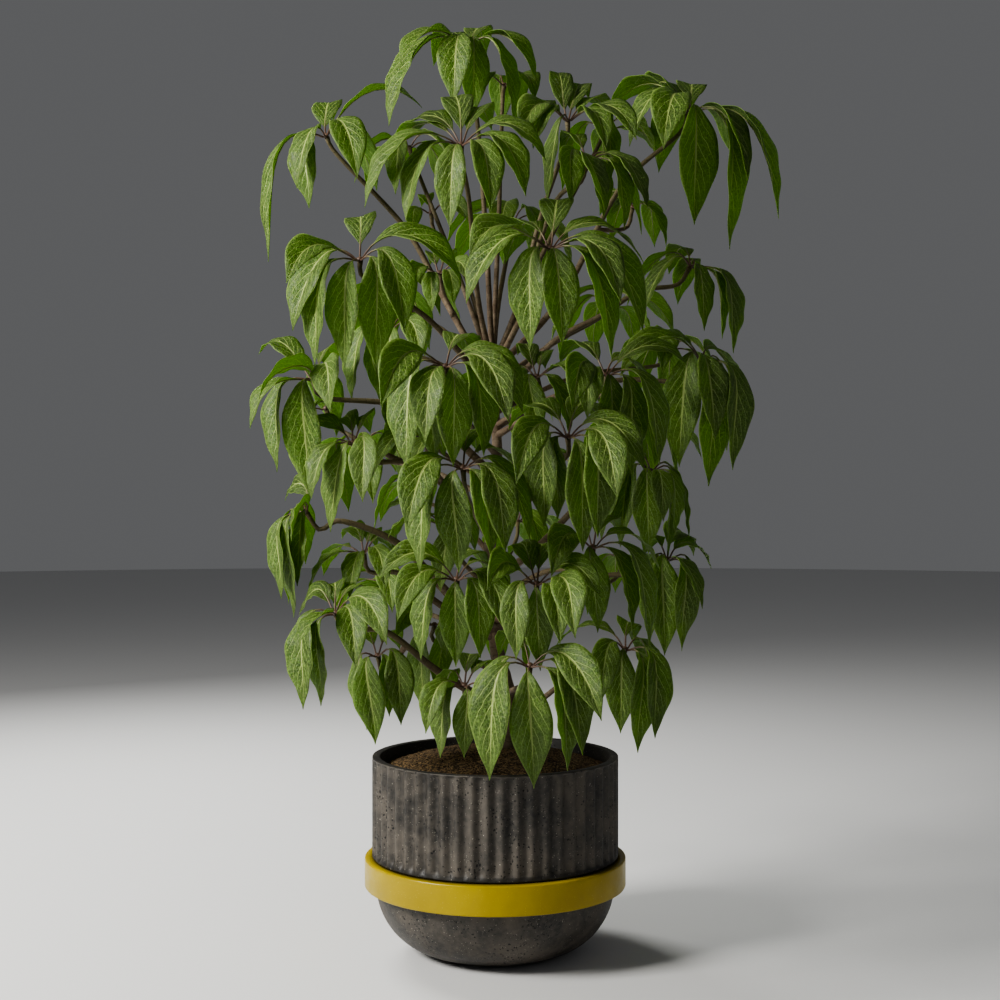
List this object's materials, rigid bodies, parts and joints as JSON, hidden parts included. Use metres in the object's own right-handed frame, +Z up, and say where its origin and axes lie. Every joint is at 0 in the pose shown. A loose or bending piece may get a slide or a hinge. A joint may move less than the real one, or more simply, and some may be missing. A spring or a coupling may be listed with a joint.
{
  "type": "potted umbrella plant",
  "caption": "Floor-standing umbrella plant: leaf umbrellas of arching leaflets on long stalks from a woody trunk, in soil in a round fluted planter with a painted band.",
  "frame": {"origin": "middle of the planter's flat foot, on the floor", "axes": "+Z up, -Y the front as the picture sees it, +X to its right"},
  "size_m": [0.8476, 0.8375, 1.513],
  "materials": {
    "concrete": "matte, speckled and pitted",
    "band": "satin paint",
    "soil": "loose, granular",
    "bark": "smooth, slightly ridged",
    "foliage": "satin, veined"
  },
  "bodies": {
    "root": {"planter": "concrete", "band": "band", "soil": "soil", "stems": "bark", "leaf_head_01": "foliage", "leaf_head_02": "foliage", "leaf_head_03": "foliage", "leaf_head_04": "foliage", "leaf_head_05": "foliage", "leaf_head_06": "foliage", "leaf_head_07": "foliage", "leaf_head_08": "foliage", "leaf_head_09": "foliage", "leaf_head_10": "foliage", "leaf_head_11": "foliage", "leaf_head_12": "foliage", "leaf_head_13": "foliage", "leaf_head_14": "foliage", "leaf_head_15": "foliage", "leaf_head_16": "foliage", "leaf_head_17": "foliage", "leaf_head_18": "foliage", "leaf_head_19": "foliage", "leaf_head_20": "foliage", "leaf_head_21": "foliage", "leaf_head_22": "foliage", "leaf_head_23": "foliage", "leaf_head_24": "foliage", "leaf_head_25": "foliage", "leaf_head_26": "foliage", "leaf_head_27": "foliage", "leaf_head_28": "foliage", "leaf_head_29": "foliage", "leaf_head_30": "foliage", "leaf_head_31": "foliage", "leaf_head_32": "foliage", "leaf_head_33": "foliage", "leaf_head_34": "foliage", "leaf_head_35": "foliage", "leaf_head_36": "foliage", "leaf_head_37": "foliage", "leaf_head_38": "foliage", "leaf_head_39": "foliage", "leaf_head_40": "foliage", "leaf_head_41": "foliage", "leaf_head_42": "foliage", "leaf_head_43": "foliage", "leaf_head_44": "foliage", "leaf_head_45": "foliage", "leaf_head_46": "foliage", "leaf_head_47": "foliage", "leaf_head_48": "foliage", "leaf_head_49": "foliage", "leaf_head_50": "foliage", "leaf_head_51": "foliage", "leaf_head_52": "foliage", "leaf_head_53": "foliage", "leaf_head_crown": "foliage"}
  },
  "joints": []
}
